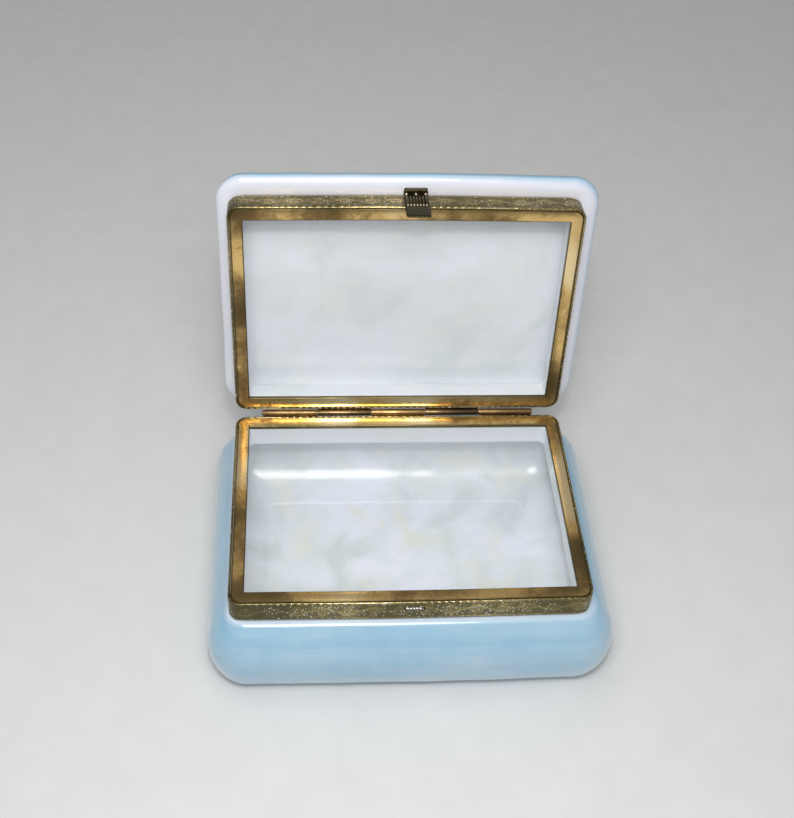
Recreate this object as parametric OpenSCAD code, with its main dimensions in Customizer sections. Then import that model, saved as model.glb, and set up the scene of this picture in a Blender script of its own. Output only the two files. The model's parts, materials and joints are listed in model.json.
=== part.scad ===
// Hinged porcelain trinket box with brass rim mounts, its lid standing open.
// Millimetres, +Z up. The origin is on the ground under the middle of the rim mount.
// A "profile" below is drawn with x = distance outward from the rim band's face and y = height.

/* [Rim mount] */
// Length of the brass rim along X
rim_w = 120; // [90:1:200]
// Depth of the brass rim along Y
rim_d = 84.2; // [60:0.1:140]
// Corner radius of the rim band's outer face
rim_r = 6; // [5.5:0.5:10]
// Thickness of the band's sheet brass
band_t = 0.8; // [0.6:0.1:1.2]
// Height of the band below the base's rim plane
base_band_h = 8.8; // [6:0.1:14]
// Height of the band above the lid's rim plane
lid_band_h = 8.3; // [6:0.1:14]
// Distance from the band's face to the inner edge of the flat rim plate
plate_reach = 5.2; // [4:0.1:5.4]
// Thickness of the rim plate
plate_t = 0.9; // [0.6:0.1:1.2]

/* [Porcelain bowl] */
// Height of the base's rim plane above the ground
rim_z = 42; // [36:0.5:70]
// How far the bowl swells beyond the band
bowl_bulge = 9.3; // [5:0.1:14]
// Height of the bowl's widest line
bowl_belly_z = 16.5; // [14:0.5:20]
// Radius of the shoulder under the band
bowl_shoulder_r = 3.2; // [2:0.1:4]
// Thickness of the wall at the belly
wall_t = 4.4; // [3:0.1:6]
// Thickness of the floor
floor_t = 4.5; // [3:0.1:6]
// How far the swelling sits off the rim's centre along X
bowl_shift_x = 1.3; // [-2:0.1:2]

/* [Porcelain lid] */
// How far the lid swells beyond the band
lid_bulge = 5.1; // [3:0.1:8]
// Height of the lid's widest line above its band
lid_belly_h = 2.5; // [1:0.1:5]
// Height of the rounded edge above the widest line
lid_edge_h = 7.6; // [5:0.1:12]
// Width of the rounded edge
lid_edge_w = 9.2; // [6:0.1:12]
// Height of the crown above the rounded edge
crown_h = 1.6; // [0.5:0.1:4]
// Depth of the hollow from the lid's rim plane
lid_hollow = 15.4; // [14.5:0.1:16]
// How far the swelling sits off the rim's centre along X
lid_shift_x = 1.1; // [-2:0.1:2]
// How far the swelling sits off the rim's centre along Y
lid_shift_y = -1.2; // [-2:0.1:2]

/* [Hinge] */
// Angle that the lid turns between closed and open
open_angle = 98; // [91:1:110]
// Gap between the two rim plates when the lid is closed
rim_gap = 0.3; // [0.2:0.05:0.6]
// Length of the row of knuckles
hinge_len = 100; // [60:1:110]
// Outer radius of a knuckle
knuckle_r = 1.2; // [1:0.05:1.25]
// Radius of the hinge pin
pin_r = 0.6; // [0.5:0.05:0.7]
// Height of the soldered hinge leaves
leaf_h = 4.4; // [3:0.1:6]

/* [Clasp] */
// Width of the ribbed thumb piece
clasp_w = 8.2; // [6:0.1:12]
// Width of the lip above the ribs
lip_w = 8.2; // [5:0.1:10]
// How far the lip stands out
lip_reach = 3; // [2:0.1:4]
// How far the thumb piece hangs below the closed rims
clasp_drop = 7.4; // [5:0.1:8.5]
// How far the thumb piece sits off the middle
clasp_x = 2.7; // [-3:0.1:3]
// Number of ribs
rib_count = 7; // [5:1:9]
// Width of the slot in the base's front band
slot_w = 6.6; // [5:0.1:8]
// Height of that slot
slot_h = 1.6; // [1.2:0.1:2]
// How far that slot sits off the middle
slot_x = 0.6; // [-2:0.1:2]

/* [Hidden] */

half_w = rim_w / 2;
half_d = rim_d / 2;
corner_fn = 96;
lid_z = rim_z + rim_gap;  // the lid's rim plane when closed

// Corner radii, at the band's face, of the sweeps that shape the porcelain
shell_plan_r = 4.5;       // outside of the porcelain
hollow_plan_r = 7;        // hollows of the bowl and the lid

// Porcelain neck that the mounts grip, and the cement round it
neck_out = -1.6;
neck_in = -4.8;
neck_top = 1.6;           // from the rim plane to the neck's end
ledge_gap = 0.1;          // band edge to porcelain
bead_r = 0.45;
bead_x = -0.45;
bead_drop = 0.6;          // bead's centre from the rim plane
plate_edge = -0.95;       // plate's outer edge, inside the band
plate_round = 0.3;

hinge_y = half_d + 1.35;
hinge_z = rim_z + rim_gap / 2;
knuckle_len = hinge_len / 5;
knuckle_gap = 0.1;        // each knuckle's end clearance
bore_r = pin_r + 0.05;
leaf_t = 0.5;

slot_z = rim_z - 3.6;     // middle of the slot
catch_x = -1.1;           // face of the catch's strip, inside the band
catch_t = 0.4;
catch_nose_r = 0.72;
pocket_w = 17;
pocket_h = 4.8;
pocket_depth = 2.6;       // from the band's face

brass = "#b8954a";
porcelain_blue = "#bcd4e6";
plaster = "#e4ddcc";
steel = "#b9bcbf";

// Points along an elliptical arc, to a thousandth of a millimetre
function arc(cx, cy, rx, ry, a0, a1, n = 12) =
    [for (i = [0:n]) let (a = a0 + (a1 - a0) * i / n)
        [round(1000 * (cx + rx * cos(a))) / 1000, round(1000 * (cy + ry * sin(a))) / 1000]];

// Sweeps a profile round the rim's rectangle, whose corner radius is r at the band's face
module around(r) {
    cx = half_w - r;
    cy = half_d - r;
    for (turn = [0, 180]) rotate(turn) {
        translate([half_w, cy, 0]) rotate([90, 0, 0]) linear_extrude(2 * cy) children();
        rotate(90) translate([half_d, cx, 0]) rotate([90, 0, 0]) linear_extrude(2 * cx) children();
    }
    for (mx = [0, 1], my = [0, 1]) mirror([mx, 0, 0]) mirror([0, my, 0])
        translate([cx, cy]) rotate_extrude(angle = 90, $fn = corner_fn)
            translate([r, 0]) children();
}

// Fills the middle that a sweep round radius r leaves open, from z0 to z1
module middle(r, z0, z1) {
    translate([r - half_w, r - half_d, z0]) cube([2 * (half_w - r), 2 * (half_d - r), z1 - z0]);
}

// Turns the lid's parts about the hinge, from closed to open
module opened() {
    translate([0, hinge_y, hinge_z]) rotate([-open_angle, 0, 0])
        translate([0, -hinge_y, -hinge_z]) children();
}

// A point of the front band, as x across, y outward from the band's face and z up
module at_front() {
    translate([0, -half_d, 0]) mirror([0, 1, 0]) children();
}

// Profiles of the mounts, drawn with the rim plane at y = 0 and the porcelain below it
module band_profile(h) {
    translate([-band_t, -h]) square([band_t, h - bead_drop]);
    translate([bead_x, -bead_drop]) circle(bead_r, $fn = 32);
    translate([bead_x, -h + bead_r]) circle(bead_r, $fn = 32);
}

module plate_profile() {
    polygon(concat(
        [[-plate_reach, -plate_t], [plate_edge, -plate_t]],
        arc(plate_edge - plate_round, -plate_round, plate_round, plate_round, 0, 90, 4),
        arc(-plate_reach + plate_round, -plate_round, plate_round, plate_round, 90, 180, 4)));
}

module cement_profile(h) {
    translate([neck_out, -h + 2 * bead_r]) square([-band_t - neck_out, h - 2 * bead_r - plate_t]);
    translate([neck_in, -neck_top]) square([-band_t - neck_in, neck_top - plate_t]);
}

// Solid neck below a rim plane at z = 0; the hollows open it
module neck(h) {
    around(rim_r) translate([-rim_r, -h - 1]) square([rim_r + neck_out, h + 1 - neck_top]);
    middle(rim_r, -h - 1, -neck_top);
}

// Space behind the front band where the catch works
module catch_pocket() {
    at_front() translate([slot_x - pocket_w / 2, -pocket_depth, slot_z - pocket_h / 2])
        cube([pocket_w, pocket_depth - band_t, pocket_h]);
}

// Outside of the bowl, below the band
module bowl_outside() {
    top = rim_z - base_band_h - ledge_gap;
    start = 0.3;
    shoulder_z = top - bowl_shoulder_r;
    // the shoulder's arc meets the side's arc where their slopes agree
    rise = shoulder_z - bowl_belly_z;
    run = bowl_bulge - start - bowl_shoulder_r;
    meet = 2 * atan2(run, rise);
    side_r = (rise + bowl_shoulder_r * sin(meet)) / sin(meet);
    foot_drop = bowl_belly_z + 0.7;
    foot_a = -asin(bowl_belly_z / foot_drop);
    translate([bowl_shift_x, 0, 0]) {
        around(shell_plan_r) polygon(concat(
            [[-shell_plan_r, 0], [-shell_plan_r, top]],
            arc(start, shoulder_z, bowl_shoulder_r, bowl_shoulder_r, 90, meet, 8),
            arc(bowl_bulge - side_r, bowl_belly_z, side_r, side_r, meet - meet / 12, 0, 11),
            arc(-0.6, bowl_belly_z, bowl_bulge + 0.6, foot_drop, foot_a / 18, foot_a, 17)));
        middle(shell_plan_r, 0, top);
    }
}

// Hollow of the bowl
module bowl_hollow() {
    inner = bowl_bulge - wall_t;
    side_r = 17;
    meet = acos((neck_in - inner + side_r) / side_r);
    cove_x = -hollow_plan_r + 0.5;
    around(hollow_plan_r) polygon(concat(
        [[-hollow_plan_r, floor_t], [-hollow_plan_r, rim_z], [neck_in, rim_z]],
        arc(inner - side_r, bowl_belly_z, side_r, side_r, meet, 0, 12),
        arc(cove_x, bowl_belly_z, inner - cove_x, bowl_belly_z - floor_t, -90 / 14, -90, 13)));
    middle(hollow_plan_r, floor_t, rim_z);
}

// Outside of the lid above its band, closed
module lid_outside() {
    start_z = lid_z + lid_band_h + ledge_gap;
    belly_z = start_z + lid_belly_h;
    top = belly_z + lid_edge_h;
    translate([lid_shift_x, lid_shift_y, 0]) {
        around(shell_plan_r) polygon(concat(
            [[-shell_plan_r, top], [-shell_plan_r, start_z]],
            arc(0, belly_z, lid_bulge, lid_belly_h, -90, 0, 8),
            arc(lid_bulge - lid_edge_w, belly_z, lid_edge_w, lid_edge_h, 90 / 16, 90, 15)));
        middle(shell_plan_r, start_z, top);
        translate([0, 0, top]) crown();
    }
}

// Low pillow on the flat of the lid, curved both ways, with its edges at z = 0
module crown() {
    flat = lid_bulge - lid_edge_w;
    a = half_w + flat;
    b = half_d + flat;
    a_r = (a * a + crown_h * crown_h) / (2 * crown_h);
    b_r = (b * b + crown_h * crown_h) / (2 * crown_h);
    intersection() {
        translate([-a, -b, -1]) cube([2 * a, 2 * b, 1 + crown_h]);
        translate([0, b, crown_h - a_r]) rotate([90, 0, 0]) cylinder(r = a_r, h = 2 * b, $fn = 720);
        translate([-a, 0, crown_h - b_r]) rotate([0, 90, 0]) cylinder(r = b_r, h = 2 * a, $fn = 720);
    }
}

// Hollow of the lid, closed: the neck's wall, a flare above the band, then a cove to the flat
module lid_hollow_space() {
    inner = lid_bulge - wall_t + 0.2;
    neck_end = lid_z + lid_band_h + 0.3;
    ledge_z = neck_end + 2.6;
    flare = 1.6;
    cove_x = -hollow_plan_r + 0.5;
    floor_z = lid_z + lid_hollow;
    around(hollow_plan_r) polygon(concat(
        [[-hollow_plan_r, lid_z], [neck_in, lid_z]],
        arc(neck_in + 2, neck_end, 2, ledge_z - neck_end, 180, 90, 6),
        arc(inner - flare, ledge_z + flare, flare, flare, -90, 0, 6),
        arc(cove_x, ledge_z + flare, inner - cove_x, floor_z - ledge_z - flare, 90 / 12, 90, 11),
        [[-hollow_plan_r, floor_z]]));
    middle(hollow_plan_r, lid_z, floor_z);
}

// One hinge leaf with its knuckles; the base's leaf, or the lid's mirrored about the hinge plane
module leaf(first, count) {
    difference() {
        union() {
            translate([-hinge_len / 2, half_d, hinge_z - rim_gap / 2 - leaf_h])
                cube([hinge_len, leaf_t, leaf_h - 0.1]);
            for (i = [0:count - 1]) knuckle_at(first + 2 * i) {
                rotate([0, 90, 0]) cylinder(r = knuckle_r, h = knuckle_len - 2 * knuckle_gap, $fn = 48);
                translate([0, half_d - hinge_y, -knuckle_r])
                    cube([knuckle_len - 2 * knuckle_gap, hinge_y - half_d, 0.6]);
            }
        }
        // room for the other leaf's knuckles
        for (i = [0:4 - count]) translate([-knuckle_gap * 2, 0, 0]) knuckle_at(1 - first + 2 * i)
            rotate([0, 90, 0])
                cylinder(r = knuckle_r + 0.15, h = knuckle_len + 2 * knuckle_gap, $fn = 48);
        translate([-hinge_len / 2 - 1, hinge_y, hinge_z]) rotate([0, 90, 0])
            cylinder(r = bore_r, h = hinge_len + 2, $fn = 48);
    }
}

module knuckle_at(i) {
    translate([-hinge_len / 2 + i * knuckle_len + knuckle_gap, hinge_y, hinge_z]) children();
}

module base_bowl() {
    color(porcelain_blue) difference() {
        union() {
            bowl_outside();
            translate([0, 0, rim_z]) neck(base_band_h);
        }
        bowl_hollow();
        catch_pocket();
    }
}

module base_cement() {
    color(plaster) difference() {
        translate([0, 0, rim_z]) around(rim_r) cement_profile(base_band_h);
        catch_pocket();
    }
}

module base_rim_band() {
    color(brass) difference() {
        translate([0, 0, rim_z]) around(rim_r) band_profile(base_band_h);
        at_front() translate([slot_x - slot_w / 2, -band_t - 1, slot_z - slot_h / 2])
            cube([slot_w, band_t + 2, slot_h]);
    }
}

module base_rim_plate() {
    color(brass) translate([0, 0, rim_z]) around(rim_r) plate_profile();
}

module base_hinge_leaf() {
    color(brass) leaf(0, 3);
}

module hinge_pin() {
    head_r = 0.95;
    head_t = 0.5;
    color(brass) translate([-hinge_len / 2, hinge_y, hinge_z]) rotate([0, 90, 0]) {
        cylinder(r = pin_r, h = hinge_len, $fn = 48);
        translate([0, 0, -head_t]) cylinder(r = head_r, h = head_t, $fn = 48);
        translate([0, 0, hinge_len]) cylinder(r = head_r, h = head_t, $fn = 48);
    }
}

// Sprung strip behind the slot, with a round nose that stands in the slot
module catch_spring() {
    nose_w = slot_w - 0.5;
    strip_w = 14;
    strip_h = 3.6;
    color(steel) at_front() translate([slot_x, 0, 0]) {
        translate([-strip_w / 2, catch_x - catch_t, slot_z - strip_h / 2])
            cube([strip_w, catch_t, strip_h]);
        translate([-nose_w / 2, catch_x - catch_t / 2, slot_z - catch_nose_r + 0.08])
            cube([nose_w, 0.8, 2 * catch_nose_r - 0.16]);
        translate([-nose_w / 2, -0.5, slot_z]) rotate([0, 90, 0])
            cylinder(r = catch_nose_r, h = nose_w, $fn = 48);
    }
}

module lid_shell() {
    color(porcelain_blue) opened() difference() {
        union() {
            lid_outside();
            translate([0, 0, lid_z]) mirror([0, 0, 1]) neck(lid_band_h);
        }
        lid_hollow_space();
    }
}

module lid_cement() {
    color(plaster) opened() translate([0, 0, lid_z]) mirror([0, 0, 1])
        around(rim_r) cement_profile(lid_band_h);
}

module lid_rim_band() {
    color(brass) opened() translate([0, 0, lid_z]) mirror([0, 0, 1])
        around(rim_r) band_profile(lid_band_h);
}

module lid_rim_plate() {
    color(brass) opened() translate([0, 0, lid_z]) mirror([0, 0, 1])
        around(rim_r) plate_profile();
}

module lid_hinge_leaf() {
    color(brass) opened() translate([0, 0, 2 * hinge_z]) mirror([0, 0, 1])
        leaf(1, 2);
}

// Ribbed thumb piece soldered to the lid's front band, with a lip to lift it by
module clasp_tab() {
    back = 0.02;              // from the lid's band
    stand_off = 0.35;         // from the base's band
    front = 1.1;
    top = lid_z + lid_band_h - 0.4;
    bottom = rim_z - clasp_drop;
    neck_h = lid_z + 1.2;     // where the hanging plate meets the band
    lip_t = 0.9;
    rib_pitch = (clasp_w - 0.9) / rib_count;
    color(brass) opened() at_front() translate([clasp_x, 0, 0]) {
        // plate on the lid's band, and the lip at its top
        translate([-lip_w / 2, back, neck_h]) cube([lip_w, front - back, top - neck_h]);
        translate([-lip_w / 2, back, top - lip_t]) cube([lip_w, lip_reach - back, lip_t]);
        // hanging plate, clear of the base's band
        translate([-clasp_w / 2, stand_off, bottom])
            cube([clasp_w, front - stand_off, neck_h - bottom + 0.6]);
        // ribs
        for (i = [0:rib_count - 1])
            translate([(i - (rib_count - 1) / 2) * rib_pitch, front, bottom + 0.3])
                cylinder(r = rib_pitch * 0.42, h = top - lip_t - 1.6 - bottom, $fn = 24);
        // row of beads under the lip
        for (x = [-1, 0, 1]) translate([x * 0.4 * lip_w, front + 0.1, top - lip_t - 0.5])
            sphere(0.6, $fn = 24);
    }
}

base_bowl();
base_cement();
base_rim_band();
base_rim_plate();
base_hinge_leaf();
hinge_pin();
catch_spring();
lid_shell();
lid_cement();
lid_rim_band();
lid_rim_plate();
lid_hinge_leaf();
clasp_tab();
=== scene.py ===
"""Looks of a hinged porcelain trinket box with brass rim mounts, built round its CAD frame.

Lengths are millimetres until a mesh is made. The lid's pieces are shaped closed and then turned
open about the hinge. A profile point is (offset outward from the rim band's face, height).
"""
import json
import math

import bmesh
import bpy
import numpy as np
from mathutils import Matrix, Vector, noise


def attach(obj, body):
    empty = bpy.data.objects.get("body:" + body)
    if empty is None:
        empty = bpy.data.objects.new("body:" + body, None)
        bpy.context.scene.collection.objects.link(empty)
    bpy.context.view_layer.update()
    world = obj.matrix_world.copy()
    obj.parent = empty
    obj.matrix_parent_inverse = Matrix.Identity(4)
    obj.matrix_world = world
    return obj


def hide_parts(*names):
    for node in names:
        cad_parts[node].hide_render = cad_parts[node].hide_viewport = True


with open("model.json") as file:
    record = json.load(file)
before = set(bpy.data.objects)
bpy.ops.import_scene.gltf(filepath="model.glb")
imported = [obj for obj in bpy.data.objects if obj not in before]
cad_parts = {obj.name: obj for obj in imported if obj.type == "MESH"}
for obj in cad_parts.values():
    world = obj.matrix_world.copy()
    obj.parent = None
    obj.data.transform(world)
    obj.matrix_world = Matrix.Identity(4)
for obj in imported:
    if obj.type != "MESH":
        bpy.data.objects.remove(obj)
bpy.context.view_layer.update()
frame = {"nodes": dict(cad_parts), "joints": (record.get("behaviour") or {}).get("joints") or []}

MM = 0.001

# ---------- sizes from the CAD frame

hinge = next(j for j in frame["joints"] if j["name"] == "lid_hinge")
HINGE_Y, HINGE_Z = (v / MM for v in hinge["pos_m"][1:])
OPEN_ANGLE = math.radians(hinge["range_deg"][1])


def turned(points, angle):
    """Points turned about the hinge axis; a positive angle closes the lid."""
    c, s = math.cos(angle), math.sin(angle)
    dy, dz = points[..., 1] - HINGE_Y, points[..., 2] - HINGE_Z
    out = points.copy()
    out[..., 1] = HINGE_Y + c * dy - s * dz
    out[..., 2] = HINGE_Z + s * dy + c * dz
    return out


def node_box(name, closed=False):
    """Lowest and highest corner of a CAD node; with closed, of a lid node turned shut."""
    mesh = frame["nodes"][name].data
    points = np.zeros(len(mesh.vertices) * 3)
    mesh.vertices.foreach_get("co", points)
    points = points.reshape(-1, 3) / MM
    if closed:
        points = turned(points, OPEN_ANGLE)
    return points.min(0), points.max(0)


band_lo, band_hi = node_box("base_rim_band")
_, plate_hi = node_box("base_rim_plate")
bowl_lo, bowl_hi = node_box("base_bowl")
_, lid_band_hi = node_box("lid_rim_band", closed=True)
lid_plate_lo, _ = node_box("lid_rim_plate", closed=True)
lid_lo, lid_hi = node_box("lid_shell", closed=True)
catch_lo, catch_hi = node_box("catch_spring")
clasp_lo, clasp_hi = node_box("clasp_tab", closed=True)
leaf_lo, leaf_hi = node_box("base_hinge_leaf")

HALF_W, HALF_D = band_hi[0], band_hi[1]
RIM_Z = plate_hi[2]
LID_Z = lid_plate_lo[2]
BAND_H = RIM_Z - band_lo[2]
LID_BAND_H = lid_band_hi[2] - LID_Z
BOWL_SHIFT = ((bowl_lo + bowl_hi) / 2)[:2]
BOWL_BULGE = (bowl_hi[0] - bowl_lo[0]) / 2 - HALF_W
LID_SHIFT = ((lid_lo + lid_hi) / 2)[:2]
LID_BULGE = (lid_hi[0] - lid_lo[0]) / 2 - HALF_W
SLOT_X = (catch_lo[0] + catch_hi[0]) / 2
SLOT_Z = (catch_lo[2] + catch_hi[2]) / 2
CLASP_X = (clasp_lo[0] + clasp_hi[0]) / 2

# Corner radii in plan, each carried out or in to the band's face
RIM_R = 6           # neck and cement
BAND_R = 4.3
PLATE_IN_R = 5.6    # leaves the plate's inner corners nearly sharp
SHELL_R = 4.5
HOLLOW_R = 7
FLOOR_R = 14.5

BOW = 0.45          # how far the front bows out between its corners
PLATE_REACH = 5.2   # from the band's face to the plate's inner edge
LEDGE_GAP = 0.1     # between the band's edge and the porcelain's ledge
NECK_OUT, NECK_IN = -1.6, -4.8
NECK_TOP = 1.6      # from the rim plane to the neck's end
LEDGE_Z = RIM_Z - BAND_H - LEDGE_GAP
LID_LEDGE_Z = LID_Z + LID_BAND_H + LEDGE_GAP

BELLY_Z = 16.5      # the bowl's widest height
FLOOR_IN, FLOOR_Z = -11.3, 4.5  # edge of the bowl's floor
LID_BELLY_H = 2.5   # from the lid's ledge to its widest height
LID_EDGE_W, LID_EDGE_H = 9.2, 7.6  # rounding of the lid's outer edge
LID_HOLLOW = 15.4   # depth of the lid's hollow
COVE_IN = -6.5      # where the cove of the lid's hollow runs out into its flat


# ---------- mesh helpers

def arc(cx, cz, rx, rz, a0, a1, n):
    """n + 1 points along an elliptical arc, with angles in degrees."""
    angles = np.radians(np.linspace(a0, a1, n + 1))
    return [(cx + rx * math.cos(a), cz + rz * math.sin(a)) for a in angles]


def line(p, q, n):
    """n points from p towards q, without q."""
    return [(p[0] + (q[0] - p[0]) * i / n, p[1] + (q[1] - p[1]) * i / n) for i in range(n)]


class Plan:
    """Sample places round the rim's rounded rectangle, anticlockwise from the back's middle."""

    def __init__(self, n_long, n_short, n_corner):
        half = n_long // 2
        parts = []

        def side(a0, b0, a1, b1, angle, n):
            for t in np.arange(n) / n:
                parts.append((a0 + (a1 - a0) * t, b0 + (b1 - b0) * t, angle))

        def corner(a, b, angle):
            for t in np.arange(n_corner) / n_corner:
                parts.append((a, b, angle + 90 * t))

        side(0, 1, -1, 1, 90, half)
        corner(-1, 1, 90)
        side(-1, 1, -1, -1, 180, n_short)
        corner(-1, -1, 180)
        side(-1, -1, 1, -1, 270, 2 * half)
        corner(1, -1, 270)
        side(1, -1, 1, 1, 0, n_short)
        corner(1, 1, 0)
        side(1, 1, 0, 1, 90, half)
        table = np.array(parts)
        self.a, self.b = table[:, 0], table[:, 1]
        self.cos, self.sin = np.cos(np.radians(table[:, 2])), np.sin(np.radians(table[:, 2]))
        self.count = len(parts)

    def grid(self, rows):
        """Points of shape (rows, samples, 3). A row is (o, z, corner r, shift x, shift y,
        scale), where o is the offset from the band's face."""
        o, z, r, sx, sy, scale = (np.array(v)[:, None] for v in zip(*rows))
        x = (self.a * (HALF_W - r) + (r + o) * self.cos) * scale + sx
        y = (self.b * (HALF_D - r) + (r + o) * self.sin) * scale + sy
        return np.stack([x, y, np.broadcast_to(z, x.shape)], axis=-1)

    def lengths(self):
        """Distance along the band's face from the middle of the front, for each sample."""
        ring = self.grid([(0, 0, BAND_R, 0, 0, 1)])[0]
        steps = np.linalg.norm(np.diff(ring, axis=0, append=ring[:1]), axis=1)
        along = np.cumsum(steps) - steps
        return along - along[np.argmin(np.abs(ring[:, 0]) + (ring[:, 1] > 0) * 1000)]


def bowed(points):
    """Pulls the front corners back a little, so that the front bows out between them."""
    u, v = points[..., 0] / HALF_W, points[..., 1] / HALF_D
    pull = np.clip(np.abs(u), 0, 1) ** 2
    out = points.copy()
    out[..., 1] -= BOW * np.minimum(v, 0) * pull * (2 - pull)
    return out


def ring_faces(n_rows, n_cols, closed):
    """Quads of rings lofted row by row; with closed, the last row joins the first."""
    i = np.arange(n_rows if closed else n_rows - 1)[:, None]
    j = np.arange(n_cols)[None, :]
    i2, j2 = (i + 1) % n_rows, (j + 1) % n_cols
    quads = np.stack([i * n_cols + j, i * n_cols + j2, i2 * n_cols + j2, i2 * n_cols + j], axis=-1)
    return quads.reshape(-1, 4).tolist()


def add_object(name, data):
    """An object in the scene that shows a mesh, lamp or camera."""
    made = bpy.data.objects.new(name, data)
    bpy.context.scene.collection.objects.link(made)
    return made


def make_piece(name, points, faces, body, nodes, materials,
               face_materials=None, values=None, crease=38, fix_normals=False):
    """A piece from points in millimetres, which rides on a body and stands for CAD nodes."""
    if body == "lid":
        points = turned(points, -OPEN_ANGLE)
    mesh = bpy.data.meshes.new(name)
    mesh.from_pydata((points * MM).tolist(), [], faces)
    for material in materials:
        mesh.materials.append(material)
    if face_materials is not None:
        mesh.polygons.foreach_set("material_index", np.asarray(face_materials, np.int32))
    for key, column in (values or {}).items():
        layer = mesh.attributes.new(key, "FLOAT", "POINT")
        layer.data.foreach_set("value", np.asarray(column, np.float32))
    if fix_normals:
        work = bmesh.new()
        work.from_mesh(mesh)
        bmesh.ops.recalc_face_normals(work, faces=work.faces)
        work.to_mesh(mesh)
        work.free()
    mesh.polygons.foreach_set("use_smooth", np.ones(len(mesh.polygons), bool))
    mesh.set_sharp_from_angle(angle=math.radians(crease))
    mesh.update()
    piece = add_object(name, mesh)
    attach(piece, body)
    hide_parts(*nodes)
    return piece


def cut_box(piece, lo, hi, crease):
    """Cuts a box-shaped hole, given by its corners in millimetres, out of a piece's mesh."""
    corners = [(x, y, z) for x in (lo[0], hi[0]) for y in (lo[1], hi[1]) for z in (lo[2], hi[2])]
    sides = [(0, 1, 3, 2), (4, 6, 7, 5), (0, 4, 5, 1), (2, 3, 7, 6), (0, 2, 6, 4), (1, 5, 7, 3)]
    mesh = bpy.data.meshes.new("cutter")
    mesh.from_pydata([Vector(c) * MM for c in corners], [], sides)
    cutter = add_object("cutter", mesh)
    cut = piece.modifiers.new("cut", "BOOLEAN")
    cut.operation = "DIFFERENCE"
    cut.solver = "EXACT"
    cut.object = cutter
    depsgraph = bpy.context.evaluated_depsgraph_get()
    result = bpy.data.meshes.new_from_object(piece.evaluated_get(depsgraph))
    piece.modifiers.clear()
    piece.data = result
    result.set_sharp_from_angle(angle=math.radians(crease))
    bpy.data.objects.remove(cutter)


def smooth_noise(points, size, seed):
    """Soft noise between about -1 and 1 at points in millimetres, with lumps of that size."""
    offset = Vector((seed * 17.3, seed * 5.9, seed * 11.1))
    flat = points.reshape(-1, 3) / size
    found = [noise.noise(Vector(p) + offset) for p in flat]
    return np.array(found).reshape(points.shape[:-1])


def smoothstep(low, high, x):
    """0 below low, 1 above high and smooth between them."""
    t = np.clip((x - low) / (high - low), 0, 1)
    return t * t * (3 - 2 * t)


# ---------- material helpers

class Shader:
    """A material on one Principled shader, with short calls for its nodes."""

    def __init__(self, name, **constants):
        self.material = bpy.data.materials.new(name)
        self.material.use_nodes = True
        self.tree = self.material.node_tree
        self.shader = self.tree.nodes["Principled BSDF"]
        self.place = self.node("TexCoord").outputs["Object"]
        for socket, value in constants.items():
            self.shader.inputs[socket.replace("_", " ")].default_value = value

    def node(self, kind, inputs=None, **settings):
        made = self.tree.nodes.new("ShaderNode" + kind)
        for key, value in settings.items():
            setattr(made, key, value)
        for key, value in (inputs or {}).items():
            self.put(made.inputs[key], value)
        return made

    def put(self, socket, value):
        if isinstance(value, bpy.types.NodeSocket):
            self.tree.links.new(value, socket)
        else:
            socket.default_value = value

    def set(self, socket, value):
        self.put(self.shader.inputs[socket], value)

    def noise(self, size, detail=3, roughness=0.5, distortion=0, at=None, seed=0):
        """Noise with lumps of about size millimetres."""
        shift = (seed, seed * 0.7, seed * 1.3)
        moved = self.node("VectorMath", {0: at or self.place, 1: shift}, operation="ADD")
        made = self.node("TexNoise", {"Vector": moved.outputs[0], "Scale": 1 / (size * MM),
                                      "Detail": detail, "Roughness": roughness,
                                      "Distortion": distortion})
        return made.outputs["Fac"]

    def dots(self, size, share):
        """Small round dots, one to a cell of about size millimetres, in that share of the cells."""
        cells = self.node("TexVoronoi", {"Vector": self.place, "Scale": 1 / (size * MM)})
        dot = self.span(cells.outputs["Distance"], 0.16, 0.34, 1.0, 0.0)
        chosen = self.span(cells.outputs["Color"], 1 - share, 1.04 - share)
        return self.math("MULTIPLY", dot, chosen)

    def stretched(self, scale):
        """Object coordinates scaled by (x, y, z)."""
        return self.node("Mapping", {"Vector": self.place, "Scale": scale}).outputs[0]

    def value(self, name):
        """A value that the mesh carries at its points."""
        return self.node("Attribute", attribute_name=name).outputs["Fac"]

    def ramp(self, factor, stops):
        """Colours against a factor, from (position, colour) pairs."""
        made = self.node("ValToRGB", {"Fac": factor})
        band = made.color_ramp
        while len(band.elements) < len(stops):
            band.elements.new(1)
        for element, (position, colour) in zip(band.elements, stops):
            element.position = position
            element.color = (*colour, 1)
        return made.outputs["Color"]

    def mix(self, factor, a, b):
        """Colour a where the factor is 0, running to b where it is 1."""
        made = self.node("Mix", data_type="RGBA")
        for index, value in ((0, factor), (6, a), (7, b)):
            if isinstance(value, tuple):
                value = (*value, 1)
            self.put(made.inputs[index], value)
        return made.outputs[2]

    def math(self, operation, a, b=0.0, c=0.0):
        made = self.node("Math", {0: a, 1: b, 2: c}, operation=operation)
        return made.outputs[0]

    def span(self, value, low, high, to_low=0.0, to_high=1.0):
        """Maps a value from low..high onto to_low..to_high, smoothly and clamped."""
        made = self.node("MapRange", {"Value": value, "From Min": low, "From Max": high,
                                      "To Min": to_low, "To Max": to_high},
                         interpolation_type="SMOOTHSTEP")
        return made.outputs[0]

    def bump(self, height, strength, distance):
        """Small relief, with its height in millimetres."""
        made = self.node("Bump", {"Height": height, "Strength": strength,
                                  "Distance": distance * MM})
        self.set("Normal", made.outputs["Normal"])


# ---------- materials

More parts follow.
